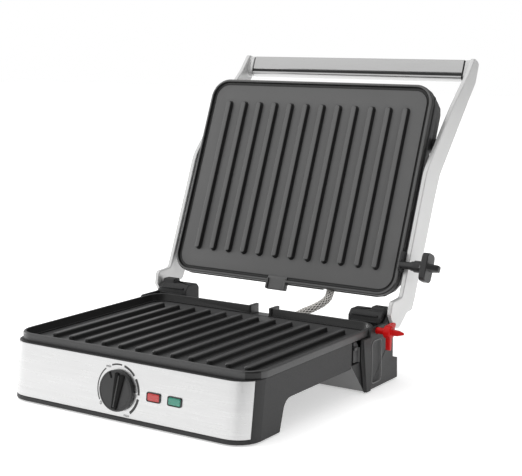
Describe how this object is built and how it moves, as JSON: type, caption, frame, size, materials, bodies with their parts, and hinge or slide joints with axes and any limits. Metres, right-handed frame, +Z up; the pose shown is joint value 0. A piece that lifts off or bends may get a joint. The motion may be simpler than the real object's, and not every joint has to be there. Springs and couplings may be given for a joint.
{
  "type": "panini press",
  "caption": "Open panini press: ribbed lower and upper cooking plates, steel-fronted base with a control knob, floating lid on cast arms joined by a bar handle, rear drip tray.",
  "frame": {"origin": "middle of the open press's box, on the surface under its feet", "axes": "+X to the user's right along the front, +Y from the front panel to the hinge, +Z up"},
  "size_m": [0.3442, 0.4656, 0.3327],
  "materials": {
    "black_moulding": "fine satin texture",
    "knob_black": "smooth satin",
    "nonstick_lower": "dark non-stick coat on a casting",
    "nonstick_upper": "dark grey non-stick coat on a casting",
    "brushed_steel": "brushed along its length",
    "arm_aluminium": "satin, silver painted casting",
    "zinc": "zinc plated",
    "element_steel": "matt, heat darkened sheath",
    "aluminised_sheet": "aluminised sheet",
    "rubber": "matt",
    "red_plastic": "moulded red, semi-gloss",
    "red_lens": "translucent red",
    "green_lens": "translucent green",
    "clear_glass": "clear neon lamp",
    "thermostat_body": "ceramic body",
    "braid": "braided silver-grey sleeve"
  },
  "bodies": {
    "base": {"base_shell": "black_moulding", "front_panel": "brushed_steel", "front_bottom_cover": "black_moulding", "red_lens": "red_lens", "green_lens": "green_lens", "red_pilot_lamp": "clear_glass", "green_pilot_lamp": "clear_glass", "thermostat": "thermostat_body", "lower_heating_element": "element_steel", "lower_reflector": "aluminised_sheet", "rear_housing": "black_moulding", "left_foot_cover": "black_moulding", "right_foot_cover": "black_moulding", "mains_inlet_gland": "rubber", "front_left_foot": "rubber", "front_right_foot": "rubber", "rear_left_foot": "rubber", "rear_right_foot": "rubber", "left_hinge_bracket": "black_moulding", "right_hinge_bracket": "black_moulding", "left_hinge_block": "black_moulding", "right_hinge_block": "black_moulding", "conduit_sleeve": "braid"},
    "lid_arms": {"left_arm": "arm_aluminium", "right_arm": "arm_aluminium", "handle_bar": "brushed_steel", "left_handle_seal": "rubber", "right_handle_seal": "rubber", "left_hinge_pin": "zinc", "right_hinge_pin": "zinc", "left_tilt_pin": "zinc", "right_tilt_pin": "zinc"},
    "head": {"upper_housing": "black_moulding", "upper_heating_element": "element_steel", "upper_reflector": "aluminised_sheet", "height_knob_bracket": "black_moulding"},
    "upper_plate": {"upper_plate": "nonstick_upper"},
    "lower_plate": {"lower_plate": "nonstick_lower"},
    "height_knob": {"height_knob": "knob_black"},
    "control": {"control_knob": "knob_black", "control_shaft": "zinc"},
    "drip_tray": {"drip_tray": "black_moulding"},
    "release_lever": {"release_lever": "red_plastic"},
    "left_latch": {"left_plate_latch": "black_moulding"},
    "right_latch": {"right_plate_latch": "black_moulding"}
  },
  "joints": [
    {"name": "arm_hinge", "type": "hinge", "parent": "base", "child": "lid_arms", "pos_m": [-0.0189, 0.045, 0.0685], "axis": [1, 0, 0], "range_deg": [-65, 111.5], "deforming": ["conduit_sleeve"]},
    {"name": "head_tilt", "type": "hinge", "parent": "lid_arms", "child": "head", "pos_m": [-0.0189, 0.14334, 0.24075], "axis": [1, 0, 0], "range_deg": [-2, 0.7]},
    {"name": "upper_plate_lift", "type": "slide", "parent": "head", "child": "upper_plate", "axis": [0, 0.9278, -0.373], "range_m": [-0.04, 0]},
    {"name": "height_knob_turn", "type": "hinge", "parent": "head", "child": "height_knob", "pos_m": [-0.0189, 0.06171, 0.12214], "axis": [1, 0, 0], "range_deg": [-90, 90]},
    {"name": "control_knob_turn", "type": "hinge", "parent": "base", "child": "control", "pos_m": [-0.0214, -0.21875, 0.03], "axis": [0, -0.9936, 0.1133], "range_deg": [-160, 115]},
    {"name": "lower_plate_lift", "type": "slide", "parent": "base", "child": "lower_plate", "axis": [0, 0, -1], "range_m": [-0.04, 0]},
    {"name": "drip_tray_slide", "type": "slide", "parent": "base", "child": "drip_tray", "axis": [0, 1, 0], "range_m": [0, 0.06]},
    {"name": "left_latch_press", "type": "slide", "parent": "base", "child": "left_latch", "axis": [1, 0, 0], "range_m": [0, 0.002], "stiffness_N_per_m": 1200, "springref_m": -0.001},
    {"name": "right_latch_press", "type": "slide", "parent": "base", "child": "right_latch", "axis": [-1, 0, 0], "range_m": [0, 0.002], "stiffness_N_per_m": 1200, "springref_m": -0.001},
    {"name": "release_lever_turn", "type": "hinge", "parent": "base", "child": "release_lever", "pos_m": [-0.0189, 0.0105, 0.0624], "axis": [1, 0, 0], "range_deg": [0, 30], "stiffness_Nm_per_rad": 0.4, "springref_deg": -17.19}
  ]
}
